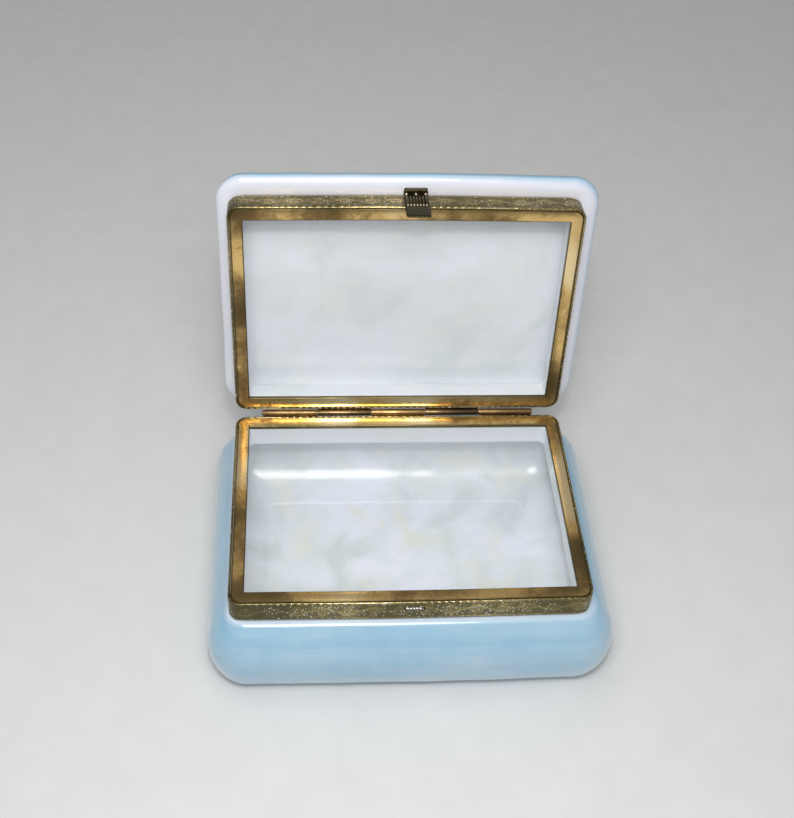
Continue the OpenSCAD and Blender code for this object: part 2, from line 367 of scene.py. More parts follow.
def blue_glaze(name, fade_start, fade_end, near):
    """Pale blue glaze that fades to a paler colour, near, towards the mount."""
    m = Shader(name, Roughness=0.3, Coat_Weight=1.0, Coat_Roughness=0.035, IOR=1.5)
    cloud = m.noise(26, 3, 0.55)
    fine = m.noise(7, 4, 0.6, seed=3)
    brushed = m.noise(9, 4, 0.6, at=m.stretched((0.25, 0.25, 1.6)), seed=6)
    blue = m.ramp(cloud, [(0.3, (0.29, 0.50, 0.67)), (0.5, (0.35, 0.555, 0.705)),
                          (0.72, (0.42, 0.60, 0.73))])
    blue = m.mix(m.span(fine, 0.35, 0.75, 0.0, 0.25), blue, (0.48, 0.65, 0.77))
    blue = m.mix(m.span(brushed, 0.42, 0.62, 0.0, 0.5), blue, (0.27, 0.51, 0.69))
    edge = m.math("ADD", m.value("rise"), m.math("MULTIPLY", m.math("SUBTRACT", cloud, 0.5), 2.0))
    near_band = m.span(edge, fade_start, fade_end, 1.0, 0.0)
    colour = m.mix(near_band, blue, near)
    # painted shade: the glaze is darkened within a few tenths of a millimetre of the band's edge,
    # where the band shades the gap
    band_gap_shade = m.span(m.value("rise"), 0.1, 0.35, 0.8, 0.0)
    colour = m.mix(band_gap_shade, colour, (0.16, 0.14, 0.08))
    m.set("Base Color", colour)
    m.bump(m.noise(9, 2, 0.4, seed=5), 0.25, 0.12)
    return m.material


def pearl_glaze(name, floor_painted_light, wall_painted_light):
    """Off-white pearl glaze with faint yellow, grey and lilac clouds. Painted light makes it paler
    by wall_painted_light near the mount, which runs out to floor_painted_light away from it."""
    m = Shader(name, Roughness=0.34, Coat_Weight=0.45, Coat_Roughness=0.07, IOR=1.45)
    cloud = m.noise(22, 4, 0.55, 0.6, seed=1)
    warm = m.noise(16, 3, 0.5, 0.4, seed=8)
    colour = m.ramp(cloud, [(0.32, (0.58, 0.635, 0.65)), (0.46, (0.68, 0.725, 0.75)),
                            (0.60, (0.75, 0.775, 0.85)), (0.74, (0.70, 0.755, 0.80))])
    colour = m.mix(m.span(warm, 0.50, 0.70, 0.0, 0.75), colour, (0.71, 0.725, 0.64))
    specks = m.span(m.noise(1.1, 1, 0.3, seed=2), 0.80, 0.86, 0.0, 0.35)
    colour = m.mix(specks, colour, (0.42, 0.36, 0.28))
    # painted light: the glaze is painted paler near the mount, where the walls get less light
    lift = m.span(m.value("rise"), 8, 28, wall_painted_light, floor_painted_light)
    m.set("Base Color", m.mix(lift, colour, (0.93, 0.955, 0.985)))
    m.bump(m.noise(9, 2, 0.5, 0.4, seed=4), 0.5, 0.45)
    return m.material


def bisque():
    """Unglazed porcelain, on the foot ring and the neck."""
    m = Shader("bisque", Roughness=0.85)
    grain = m.noise(0.5, 4, 0.6)
    stain = m.noise(9, 4, 0.6, seed=6)
    colour = m.ramp(grain, [(0.3, (0.60, 0.57, 0.50)), (0.7, (0.76, 0.73, 0.66))])
    m.set("Base Color", m.mix(m.span(stain, 0.5, 0.8, 0.0, 0.6), colour, (0.40, 0.34, 0.26)))
    m.bump(grain, 0.6, 0.06)
    return m.material


def plaster_bed():
    """Coarse plaster, hidden under the mounts."""
    m = Shader("plaster_bed", Roughness=0.9)
    grain = m.noise(0.8, 5, 0.65)
    m.set("Base Color", m.ramp(grain, [(0.3, (0.52, 0.48, 0.38)), (0.7, (0.78, 0.74, 0.64))]))
    m.bump(grain, 0.8, 0.12)
    return m.material


def worn_brass_painted_sheen(name, tones, brown_from, roughness, low_relief_dark=None, painted_highlight=0.0, pricked_glints=False):
    """Polished brass with brown tarnish in patches, fine scratches and dull spots, and a painted
    reflection: broad darker patches and bright gold painted highlights. tones are its bright, brown
    and dark colours. With low_relief_dark, the mesh's relief value darkens the metal by that much
    near 0 and rubs it bright near 1. painted_highlight sets how bright the painted highlights are,
    and pricked_glints sets the metal with small punched dots painted bright as glints."""
    bright, brown, dark = tones
    m = Shader(name, Metallic=1.0)
    patches = m.noise(13, 5, 0.6, 0.8, seed=2)
    mottle = m.noise(2.2, 4, 0.65, 0.3, seed=9)
    spots = m.noise(0.7, 2, 0.5, seed=12)
    scratch_a = m.noise(0.9, 2, 0.5, at=m.stretched((6, 0.35, 1)), seed=1)
    scratch_b = m.noise(0.9, 2, 0.5, at=m.stretched((0.35, 6, 1)), seed=7)
    scratches = m.math("MULTIPLY", scratch_a, scratch_b)
    broad_tarnish_and_reflection = m.noise(30, 1, 0.4, seed=15)
    blend = m.math("MULTIPLY_ADD", patches, 0.3, m.math("MULTIPLY", mottle, 0.15))
    blend = m.math("ADD", blend, m.math("MULTIPLY", broad_tarnish_and_reflection, 0.55))
    tarnish = m.span(blend, brown_from, brown_from + 0.17)
    colour = m.mix(tarnish, bright, brown)
    # painted reflection: broad darker patches, and bright gold painted highlights at random places
    colour = m.mix(m.span(broad_tarnish_and_reflection, 0.54, 0.72, 0.0, 0.7), colour, dark)
    colour = m.mix(m.span(broad_tarnish_and_reflection, 0.34, 0.44, painted_highlight, 0.0), colour, (1.0, 0.80, 0.46))
    colour = m.mix(m.span(mottle, 0.60, 0.8, 0.0, 0.4), colour, dark)
    colour = m.mix(m.span(spots, 0.70, 0.8, 0.0, 0.8), colour, dark)
    rough = m.math("ADD", m.span(tarnish, 0.0, 1.0, roughness[0], roughness[1]),
                   m.span(scratches, 0.2, 0.45, 0.0, 0.12))
    if low_relief_dark is not None:
        # low relief is darkened: patina in the frieze's hollows, painted shade along the plates'
        # edges; relief near 1 is rubbed bright, and at the clasp's rib ends it is a painted glint
        height = m.value("relief")
        hollow = m.span(height, 0.1, 0.7, low_relief_dark, 0.0)
        colour = m.mix(hollow, colour, dark)
        colour = m.mix(m.span(height, 0.8, 1.0, 0.0, 0.7), colour, (0.95, 0.86, 0.62))
        rough = m.math("ADD", rough, m.math("MULTIPLY", hollow, 0.16))
    grit = m.math("ADD", scratches, m.math("MULTIPLY", spots, 0.5))
    if pricked_glints:
        # punched dots, painted bright as glints
        prick_glints = m.dots(0.85, 0.42)
        colour = m.mix(m.math("MULTIPLY", prick_glints, 0.85), colour, (1.0, 0.94, 0.78))
        grit = m.math("ADD", grit, m.math("MULTIPLY", prick_glints, 2.0))
    m.set("Base Color", colour)
    m.set("Roughness", rough)
    m.bump(grit, 0.35, 0.05)
    return m.material


def spring_metal():
    m = Shader("spring_metal", Metallic=1.0)
    streak = m.noise(0.6, 3, 0.6, at=m.stretched((5, 1, 0.6)))
    m.set("Base Color", m.ramp(streak, [(0.35, (0.16, 0.13, 0.11)), (0.6, (0.50, 0.47, 0.43))]))
    m.set("Roughness", m.span(streak, 0.3, 0.7, 0.14, 0.34))
    m.bump(streak, 0.4, 0.04)
    return m.material


def pale_floor():
    m = Shader("pale_floor", Roughness=0.75)
    paper = m.noise(14, 5, 0.6)
    m.set("Base Color", m.ramp(paper, [(0.3, (0.70, 0.70, 0.69)), (0.7, (0.735, 0.735, 0.725))]))
    return m.material


# Bright, brown and dark tones
PLATE_TONES = ((0.80, 0.55, 0.22), (0.25, 0.16, 0.065), (0.10, 0.08, 0.035))
FRIEZE_TONES = ((0.46, 0.36, 0.16), (0.26, 0.20, 0.08), (0.09, 0.075, 0.03))
# the hinge's tones are darkened as painted shade, for knuckles that lie in shade
HINGE_TONES = ((0.50, 0.33, 0.14), (0.22, 0.135, 0.06), (0.07, 0.05, 0.03))
# the lid's hinge leaf is painted darker still, as shade
SHADED_HINGE_TONES = ((0.20, 0.135, 0.065), (0.10, 0.065, 0.035), (0.04, 0.03, 0.02))
CLASP_TONES = ((0.34, 0.29, 0.15), (0.15, 0.12, 0.06), (0.03, 0.027, 0.015))

base_glaze = blue_glaze("blue_glaze_base", 0.3, 3.0, (0.60, 0.71, 0.84))
lid_glaze = blue_glaze("blue_glaze_lid", 3.9, 7.6, (0.80, 0.815, 0.90))
# painted light: the bowl's walls are painted paler near the mount, and the lid's hollow paler all
# over
base_pearl = pearl_glaze("pearl_glaze_base", 0.0, 0.6)
lid_pearl = pearl_glaze("pearl_glaze_lid", 0.4, 0.4)
unglazed = bisque()
plaster = plaster_bed()
plate_brass = worn_brass_painted_sheen("plate_brass", PLATE_TONES, 0.43, (0.16, 0.42), 0.9, painted_highlight=0.9)
frieze_brass = worn_brass_painted_sheen("frieze_brass", FRIEZE_TONES, 0.40, (0.14, 0.3), 0.75, pricked_glints=True)
hinge_brass = worn_brass_painted_sheen("hinge_brass", HINGE_TONES, 0.38, (0.24, 0.45))
shaded_hinge_brass = worn_brass_painted_sheen("shaded_hinge_brass", SHADED_HINGE_TONES, 0.38, (0.26, 0.45))
clasp_brass = worn_brass_painted_sheen("clasp_bronze", CLASP_TONES, 0.30, (0.12, 0.26), 0.9)
spring = spring_metal()


# ---------- porcelain

OUTER, INNER, BARE = 0, 1, 2
WAVE = 0.28     # depth of the waviness outside
porcelain_plan = Plan(64, 46, 14)


class Skin:
    """Rows of one closed porcelain skin, with the zone of the faces that follow each row."""

    def __init__(self):
        self.rows, self.zones = [], []

    def add(self, profile, r, zone, shift=(0, 0), scales=None):
        scales = np.ones(len(profile)) if scales is None else scales
        self.rows += [(o, z, r, *shift, scale) for (o, z), scale in zip(profile, scales)]
        self.zones += [zone] * len(profile)


def middle_scales(n):
    """Scales from near the middle out to 1, closer together near the edge."""
    t = np.linspace(0.06, 1, n)
    return 1 - (1 - t) ** 1.3


def band_distance(points, band_edge_z):
    """Distance from the band's edge, where it meets the porcelain."""
    x = np.abs(points[..., 0]) - HALF_W + BAND_R
    y = np.abs(points[..., 1]) - HALF_D + BAND_R
    plan = np.hypot(np.maximum(x, 0), np.maximum(y, 0)) - BAND_R
    return np.hypot(np.maximum(plan, 0), points[..., 2] - band_edge_z)


def porcelain(name, skin, body, node, glaze, pearl, band_edge_z, shape):
    """Lofts a skin's rows, closes both ends and adds the slow waviness of hand-finished ware."""
    points = shape(porcelain_plan.grid(skin.rows))
    zones = np.array(skin.zones)
    n_rows, n_cols = points.shape[:2]
    profile = np.array([row[:2] for row in skin.rows])
    travel = np.cumsum(np.linalg.norm(np.diff(profile, axis=0, prepend=profile[:1]), axis=1))
    # the waviness dies out towards the bare foot ring and neck, and is deeper inside
    gap = np.abs(travel[:, None] - travel[None, zones == BARE]).min(axis=1)
    soft = np.where(zones == BARE, 0, smoothstep(0.5, 7, gap))
    rise = band_distance(points, band_edge_z)
    sway = 0.8 * smooth_noise(points, 32, 1) + 0.5 * smooth_noise(points, 13, 2)
    sway += 0.18 * smooth_noise(points, 6, 3)
    deeper = np.where(zones == INNER, 1.5, 1)[:, None]
    depth = WAVE * deeper * soft[:, None] * np.clip(0.5 + sway, 0, 1.3)
    points = bowed(points - grid_normals(points) * depth[..., None])
    middle = n_rows * n_cols
    edge = middle - n_cols
    around = [(k, (k + 1) % n_cols) for k in range(n_cols)]
    faces = ring_faces(n_rows, n_cols, closed=False) + [(middle, b, a) for a, b in around]
    faces += [(middle + 1, edge + a, edge + b) for a, b in around]
    all_points = np.vstack([points.reshape(-1, 3), points[[0, -1]].mean(axis=1)])
    face_zones = np.concatenate([np.repeat(zones[:-1], n_cols), np.full(n_cols, zones[0]),
                                 np.full(n_cols, zones[-1])])
    values = {"rise": np.concatenate([rise.reshape(-1), [rise[0].mean(), rise[-1].mean()]])}
    return make_piece(name, all_points, faces, body, [node],
                      [glaze, pearl, unglazed], face_zones, values, crease=50)


def grid_normals(points):
    """Unit normals of a lofted grid of rings."""
    along = np.roll(points, -1, axis=1) - np.roll(points, 1, axis=1)
    up = np.gradient(points, axis=0)
    normals = np.cross(along, up)
    return normals / np.maximum(np.linalg.norm(normals, axis=-1, keepdims=True), 1e-9)


def neck_rows(ledge_z, neck_z, up):
    """Profiles of the ledge under the mount and of the neck's outside and end. up is 1 for the
    bowl and -1 for the closed lid."""
    ledge = [(-0.1, ledge_z - 0.05 * up), (-0.5, ledge_z - 0.25 * up)]
    neck = [(NECK_OUT, ledge_z - 0.7 * up), (NECK_OUT, ledge_z + 3 * up)]
    neck += [(NECK_OUT, neck_z - 0.2 * up), (NECK_OUT - 0.2, neck_z), (NECK_IN + 0.5, neck_z)]
    return ledge, neck


def add_bowl_outside(skin):
    """The recess under the bowl, its foot ring, and the side up to the ledge."""
    def add(profile, zone, scales=None):
        skin.add(profile, SHELL_R, zone, BOWL_SHIFT, scales)

    recess_o, recess_z, recess_r = -3.3, 1.1, 0.5
    scales = middle_scales(14)
    add([(recess_o, recess_z)] * len(scales), INNER, scales)
    add(arc(recess_o, recess_z - recess_r, recess_r + 0.1, recess_r, 80, 10, 4), INNER)
    add([(-2.55, 0.2), (-2.3, 0.04), (-2, 0), (0, 0), (1.7, 0)], BARE)
    add([(2.15, 0.03), (2.5, 0.14)], OUTER)
    foot_o, foot_lift, foot_drop = -0.6, 0.35, BELLY_Z + 0.7
    foot_a = math.degrees(math.asin((foot_lift - BELLY_Z) / foot_drop))
    add(arc(foot_o, BELLY_Z, BOWL_BULGE - foot_o, foot_drop, foot_a, 0, 26)[:-1], OUTER)
    # the side's arc runs on into the shoulder's without a corner
    shoulder_o, shoulder_r = 0.3, 3.2
    shoulder_z = LEDGE_Z - shoulder_r
    run, climb = BOWL_BULGE - shoulder_o - shoulder_r, shoulder_z - BELLY_Z
    meet = 2 * math.atan2(run, climb)
    side_r = (climb + shoulder_r * math.sin(meet)) / math.sin(meet)
    meet_a = math.degrees(meet)
    add(arc(BOWL_BULGE - side_r, BELLY_Z, side_r, side_r, 0, meet_a, 18)[:-1], OUTER)
    add(arc(shoulder_o, shoulder_z, shoulder_r, shoulder_r, meet_a, 80, 14), OUTER)


def add_bowl_hollow(skin, neck_z):
    """The inside: down the neck, out over the wall, and in along the cove to the floor."""
    wall_o, wall_r, lip_r = BOWL_BULGE - 4.4, 17, 0.4
    meet = math.acos((NECK_IN - wall_o + wall_r) / wall_r)
    wall_z = BELLY_Z + wall_r * math.sin(meet)
    skin.add(arc(NECK_IN + lip_r, neck_z - lip_r, lip_r, lip_r, 90, 180, 4), HOLLOW_R, INNER)
    skin.add(line((NECK_IN, neck_z - 1), (NECK_IN, wall_z), 5), HOLLOW_R, INNER)
    skin.add(arc(wall_o - wall_r, BELLY_Z, wall_r, wall_r, math.degrees(meet), 0, 20)[:-1],
             HOLLOW_R, INNER)
    step_w, step_h = 1.3, 0.4
    cove = arc(FLOOR_IN, BELLY_Z, wall_o - FLOOR_IN, BELLY_Z - FLOOR_Z - step_h, 0, -86, 34)
    for o, z in cove[:-1]:
        round_off = smoothstep(wall_o, FLOOR_IN, o)
        skin.add([(o, z)], HOLLOW_R + (FLOOR_R - HOLLOW_R) * round_off, INNER)
    edge_o, edge_z = cove[-1]
    for t in np.linspace(0, 1, 9):
        z = edge_z + (FLOOR_Z - edge_z) * float(smoothstep(0, 1, t))
        skin.add([(edge_o - step_w * t, z)], FLOOR_R, INNER)
    scales = middle_scales(22)[::-1][1:]
    skin.add([(edge_o - step_w, FLOOR_Z)] * len(scales), FLOOR_R, INNER, scales=scales)


def bowl_skin():
    """Bowl: under the foot, up the outside, over the neck, down the inside to the floor."""
    neck_z = RIM_Z - NECK_TOP
    ledge, neck = neck_rows(LEDGE_Z, neck_z, 1)
    skin = Skin()
    add_bowl_outside(skin)
    skin.add(ledge, RIM_R, OUTER)
    skin.add(neck, RIM_R, BARE)
    add_bowl_hollow(skin, neck_z)
    return skin


def add_lid_hollow(skin, neck_z):
    """The inside of the closed lid, from the middle of its hollow down to the neck's end."""
    wall_o, wall_r, lip_r = LID_BULGE - 4.2, 1.6, 0.4
    flare_w, flare_h = 2, 2.6   # the hollow widens over the mount
    ceiling_z, flare_low = LID_Z + LID_HOLLOW, LID_Z + LID_BAND_H + 0.3
    wall_z = flare_low + flare_h + wall_r
    scales = middle_scales(22)[:-1]
    skin.add([(COVE_IN, ceiling_z)] * len(scales), HOLLOW_R, INNER, scales=scales)
    skin.add(arc(COVE_IN, wall_z, wall_o - COVE_IN, ceiling_z - wall_z, 90, 0, 22)[:-1],
             HOLLOW_R, INNER)
    skin.add(arc(wall_o - wall_r, wall_z, wall_r, wall_r, 0, -90, 8), HOLLOW_R, INNER)
    skin.add(arc(NECK_IN + flare_w, flare_low, flare_w, flare_h, 90, 180, 10)[:-1],
             HOLLOW_R, INNER)
    skin.add(line((NECK_IN, flare_low), (NECK_IN, neck_z + 1), 5), HOLLOW_R, INNER)
    skin.add(arc(NECK_IN + lip_r, neck_z + lip_r, lip_r, lip_r, 180, 270, 4), HOLLOW_R, INNER)


def lid_skin():
    """Closed lid: from the middle of its hollow, round the neck and up the outside."""
    neck_z, belly_z = LID_Z + NECK_TOP, LID_LEDGE_Z + LID_BELLY_H
    ledge, neck = neck_rows(LID_LEDGE_Z, neck_z, -1)
    skin = Skin()
    add_lid_hollow(skin, neck_z)
    skin.add(neck[::-1], RIM_R, BARE)
    skin.add(ledge[::-1], RIM_R, OUTER)
    skin.add(arc(0, belly_z, LID_BULGE, LID_BELLY_H, -76, 0, 14)[:-1], SHELL_R, OUTER, LID_SHIFT)
    edge_o = LID_BULGE - LID_EDGE_W
    skin.add(arc(edge_o, belly_z, LID_EDGE_W, LID_EDGE_H, 0, 90, 24), SHELL_R, OUTER, LID_SHIFT)
    scales = middle_scales(24)[::-1][1:]
    skin.add([(edge_o, belly_z + LID_EDGE_H)] * len(scales), SHELL_R, OUTER, LID_SHIFT, scales)
    return skin


def pillowed(points):
    """Raises the flats of the closed lid into a low pillow, outside and in."""
    top_z, ceiling_z = LID_LEDGE_Z + LID_BELLY_H + LID_EDGE_H, LID_Z + LID_HOLLOW
    crown_h, ceiling_h = lid_hi[2] - top_z, 1.0
    out = points.copy()
    for flat_z, edge_o, centre, rise in ((top_z, LID_BULGE - LID_EDGE_W, LID_SHIFT, crown_h),
                                         (ceiling_z, COVE_IN, (0, 0), ceiling_h)):
        flat = np.abs(points[..., 2] - flat_z) < 1e-6
        u = np.clip((points[..., 0] - centre[0]) / (HALF_W + edge_o), -1, 1)
        v = np.clip((points[..., 1] - centre[1]) / (HALF_D + edge_o), -1, 1)
        out[..., 2] += flat * rise * (1 - u ** 2) ** 2 * (1 - v ** 2) ** 2
    return out


def dished(points):
    """Lifts the middle of the bowl's floor a little."""
    lift = 0.15
    half_x, half_y = HALF_W + FLOOR_IN - 1, HALF_D + FLOOR_IN - 1
    flat = np.abs(points[..., 2] - FLOOR_Z) < 1e-6
    u, v = points[..., 0] / half_x, points[..., 1] / half_y
    out = points.copy()
    out[..., 2] += flat * lift * np.clip(1 - u ** 2, 0, 1) * np.clip(1 - v ** 2, 0, 1)
    return out


bowl = porcelain("glazed_bowl", bowl_skin(), "base", "base_bowl", base_glaze, base_pearl,
                 RIM_Z - BAND_H, dished)
porcelain("glazed_lid", lid_skin(), "lid", "lid_shell", lid_glaze, lid_pearl,
          LID_Z + LID_BAND_H, pillowed)


# ---------- rim mounts

def rim_plane(body):
    """Height of a mount's rim plane when the lid is closed, and the way away from it."""
    return (RIM_Z, -1) if body == "base" else (LID_Z, 1)


def mount_rows(profile, body, outer_r, inner_r):
    """Rows from a profile of (offset, distance from the rim plane), outside first and upward.
    The plan corner radius runs from outer_r at the band to inner_r at the plate's inner edge."""
    plane, sign = rim_plane(body)
    rows = []
    for o, d in profile:
        share = min(max((-o - 1) / (PLATE_REACH - 1), 0), 1)
        rows.append((o, plane + sign * d, outer_r + (inner_r - outer_r) * share, 0, 0, 1))
    return rows if body == "base" else rows[::-1]


def closed_sweep(name, plan, rows, body, node, material, adjust=None, values=None, crease=38):
    """A ring-shaped piece from a closed profile."""
    points = plan.grid(rows)
    if adjust:
        points = adjust(points)
    points = bowed(points)
    faces = ring_faces(len(rows), plan.count, closed=True)
    return make_piece(name, points.reshape(-1, 3), faces, body, [node], [material],
                      values=values, crease=crease)


def frieze(u, v):
    """Height, 0 to 1, of a running scroll with leaves.
    u runs along the band in millimetres and v across it, from -1 to 1."""
    pitch, reach = 8.4, 2.75
    cell = np.floor(u / pitch)
    x = u - (cell + 0.5) * pitch
    flip = np.where(cell % 2 == 0, 1, -1)
    y = v * reach * flip
    # stem: a wave that crosses the band from scroll to scroll
    swing, stem_w = 1.75, 0.3
    stem = np.exp(-((y + swing * np.cos(math.pi * x / pitch) - 0.2) / stem_w) ** 2)
    # volute: a spiral ridge round each cell's middle
    coil, coil_end, ridge_w = 0.9, 1.9, 0.26
    cx, cy = x, y - 0.35
    radius, angle = np.hypot(cx, cy), np.arctan2(cy, cx)
    turn = (radius - coil * (angle / (2 * math.pi))) / coil
    ridge = np.exp(-((turn - np.round(turn)) / ridge_w) ** 2) * (radius < coil_end)
    # leaves: drops that fan out of the volute
    leaf_half_l, leaf_half_w = 0.95, 0.42
    leaf = np.zeros_like(x)
    for k in range(5):
        a = math.radians(200 + 38 * k)
        lx, ly = x - 2.75 * math.cos(a), y - 0.3 - 2.0 * math.sin(a)
        p, q = lx * math.cos(a) + ly * math.sin(a), -lx * math.sin(a) + ly * math.cos(a)
        drop = 1.15 - (p / leaf_half_l) ** 2 - (q / leaf_half_w) ** 2
        leaf = np.maximum(leaf, np.clip(drop, 0, 1))
    scroll = np.maximum.reduce([stem, ridge, leaf])
    return 0.25 + 0.55 * np.clip(scroll, 0, 1)


BEAD, PANEL, BACK = 0, 1, 2


def rim_band(name, body, height, node):
    """Band of sheet brass with a bead along each edge and an embossed frieze between them."""
    bead_r, top_bead, thickness, n_panel = 0.45, 0.6, 0.8, 30
    relief_depth, knob_depth, knob_pitch = 0.2, 0.15, 2.4
    clear = 1.35 * bead_r
    low, high = height - bead_r - clear, top_bead + clear
    outside = arc(-bead_r, height - bead_r, bead_r, bead_r, 115, -42, 7)
    panel = [(-0.03, d) for d in np.linspace(low, high, n_panel)]
    top = arc(-bead_r, top_bead, bead_r, bead_r, 42, -125, 7)
    inside = [(-thickness, d) for d in (0.9, height / 2, height - 0.5)]
    kinds = [BEAD] * len(outside) + [PANEL] * n_panel + [BEAD] * len(top) + [BACK] * len(inside)
    if body == "lid":
        kinds = kinds[::-1]
    kinds = np.array(kinds)[:, None]
    rows = mount_rows(outside + panel + top + inside, body, BAND_R, BAND_R)
    plan = Plan(460, 320, 26)
    along = plan.lengths()[None, :]
    plane, sign = rim_plane(body)
    drop = (np.array([row[1] for row in rows]) - plane) * sign
    across = (np.clip((drop - high) / (low - high), 0, 1) * 2 - 1)[:, None]
    hem = smoothstep(0, 0.12, 1 - np.abs(across))
    height_map = frieze(along, across) * hem + 0.15 * (1 - hem)
    # worn beads: uneven knobs along both edges
    knob = np.sin(2 * math.pi * (along + 0.5 * np.sin(along / 7.1)) / knob_pitch) * 0.5 + 0.5
    knob = knob * (0.5 + 0.5 * np.sin(along / 11.3 + 2 * np.sin(along / 23)))
    is_panel, is_bead = kinds == PANEL, kinds == BEAD
    push = is_panel * relief_depth * (1 - height_map) + is_bead * knob_depth * knob
    relief = np.where(is_panel, height_map, np.where(is_bead, 0.85 * (1 - knob), 0.2))

    def emboss(points):
        outward = np.stack([plan.cos, plan.sin, np.zeros(plan.count)], axis=-1)[None]
        return points - outward * push[..., None]

    return closed_sweep(name, plan, rows, body, node, frieze_brass, emboss,
                        {"relief": relief.reshape(-1)}, crease=60)


def rim_plate(name, body, node):
    """Flat frame that laps the porcelain's edge, with a thin lip turned down inside it."""
    outer, inner, thick, edge_r = -0.95, -PLATE_REACH, 0.9, 0.3
    lip_in, lip_drop = -4.9, 1.5
    hollow, hollow_o, hollow_half = 0.11, -3.0, 1.7
    dent, dent_reach = 0.06, 0.35
    profile = [(outer - 0.1, thick)] + arc(outer - edge_r, edge_r, edge_r, edge_r, 0, -90, 5)
    profile += [(o, hollow * ((o - hollow_o) / hollow_half) ** 2)
                for o in np.linspace(-1.4, -4.6, 12)]
    profile += arc(inner + 0.4, 0.45, 0.4, 0.35, -110, -180, 5)
    profile += [(inner, 1.0), (inner + 0.02, lip_drop), (lip_in - 0.1, lip_drop + 0.08)]
    profile += [(lip_in, lip_drop), (lip_in, 1.0), (lip_in + 0.15, thick), (hollow_o, thick)]
    profile = [(o, max(d, 0)) for o, d in profile]
    rows = mount_rows(profile, body, BAND_R, PLATE_IN_R)
    plan = Plan(180, 126, 14)

    def dented(points):
        plane, sign = rim_plane(body)
        face = np.abs(points[..., 2] - plane) < dent_reach
        sway = 0.5 + 0.6 * smooth_noise(points, 9, 4) + 0.3 * smooth_noise(points, 3.5, 6)
        out = points.copy()
        out[..., 2] += sign * face * dent * np.clip(sway, 0, 1.3)
        return out

    # painted shade: the relief value leaves the metal darker along both edges of the face and
    # behind it
    o, d = np.array(profile).T
    unshaded_face = smoothstep(-1.1, -1.6, o) * smoothstep(inner + 0.1, inner + 0.5, o) * (d < 0.8) * 0.75
    if body == "lid":
        unshaded_face = unshaded_face[::-1]
    return closed_sweep(name, plan, rows, body, node, plate_brass, dented,
                        {"relief": np.repeat(unshaded_face, plan.count)})


def cement(name, body, height, node):
    """Plaster bed between the neck and the band, and over the neck's end."""
    band_in, plate_t = -0.82, 0.93
    low = height - 0.9
    profile = [(NECK_OUT, low), (band_in, low), (band_in, plate_t)]
    profile += [(NECK_IN, plate_t), (NECK_IN, NECK_TOP), (NECK_OUT, NECK_TOP)]
    rows = mount_rows(profile, body, RIM_R, RIM_R)
    return closed_sweep(name, Plan(60, 44, 10), rows, body, node, plaster)


base_band = rim_band("base_band", "base", BAND_H, "base_rim_band")
rim_band("lid_band", "lid", LID_BAND_H, "lid_rim_band")
rim_plate("base_frame", "base", "base_rim_plate")
rim_plate("lid_frame", "lid", "lid_rim_plate")
base_bed = cement("base_cement_bed", "base", BAND_H, "base_cement")
cement("lid_cement_bed", "lid", LID_BAND_H, "lid_cement")

# Slot through the front band, and the pocket that the catch works in behind it
SLOT_W, SLOT_H = 6.6, 1.9
POCKET_W, POCKET_H, POCKET_DEPTH = 17, 4.8, 2.6
for cut_piece, wide, high, near, far, crease in (
        (base_band, SLOT_W, SLOT_H, -1, 2, 60),
        (bowl, POCKET_W, POCKET_H, 0.5, POCKET_DEPTH, 50),
        (base_bed, POCKET_W, POCKET_H, 0.5, POCKET_DEPTH, 50)):
    cut_box(cut_piece, (SLOT_X - wide / 2, near - HALF_D, SLOT_Z - high / 2),
            (SLOT_X + wide / 2, far - HALF_D, SLOT_Z + high / 2), crease)


# ---------- hinge

KNUCKLE_R, BORE_R = 1.2, 0.66
LEAF_T, LEAF_H = 0.5, 4.4
HINGE_LEN = leaf_hi[0] - leaf_lo[0]
KNUCKLES = 5


def loft(rings):
    """A closed solid through rings of points, with a flat face on each end."""
    points = np.array(rings)
    n_rings, n = points.shape[:2]
    faces = ring_faces(n_rings, n, closed=False)
    faces += [tuple(range(n))[::-1], tuple(range((n_rings - 1) * n, n_rings * n))]
    return points.reshape(-1, 3), faces


def bar_along_x(profile, x0, x1, bevel, end_scale):
    """A closed solid: a (y, z) profile carried from x0 to x1 and drawn in at both ends."""
    profile = np.array(profile)
    centre = profile.mean(axis=0)
    return loft([[(x, y, z) for y, z in centre + (profile - centre) * scale] for x, scale in (
        (x0, end_scale), (x0 + bevel, 1), (x1 - bevel, 1), (x1, end_scale))])


def rolled_knuckle():
    """Sheet that rises from the leaf and rolls over the pin, as a (y, z) outline for the base."""
    middle_r = (KNUCKLE_R + BORE_R) / 2
    half = (KNUCKLE_R - BORE_R) / 2
    y_leaf = HALF_D + LEAF_T / 2 + 0.02
    path = [(y_leaf, HINGE_Z - 1.9), (y_leaf + 0.03, HINGE_Z - 1.2), (y_leaf + 0.1, HINGE_Z - 0.6)]
    path += [(HINGE_Y + y, HINGE_Z + z) for y, z in arc(0, 0, middle_r, middle_r, 180, -128, 34)]
    path = np.array(path)
    along = np.gradient(path, axis=0)
    along /= np.linalg.norm(along, axis=1, keepdims=True)
    side = np.stack([-along[:, 1], along[:, 0]], axis=1) * half
    return np.vstack([path + side, (path - side)[::-1]])


def join_parts(parts):
    """One point array and face list from several (points, faces) shells."""
    faces, base = [], 0
    for points, part_faces in parts:
        faces += [tuple(base + k for k in face) for face in part_faces]
        base += len(points)
    return np.vstack([points for points, _ in parts]), faces


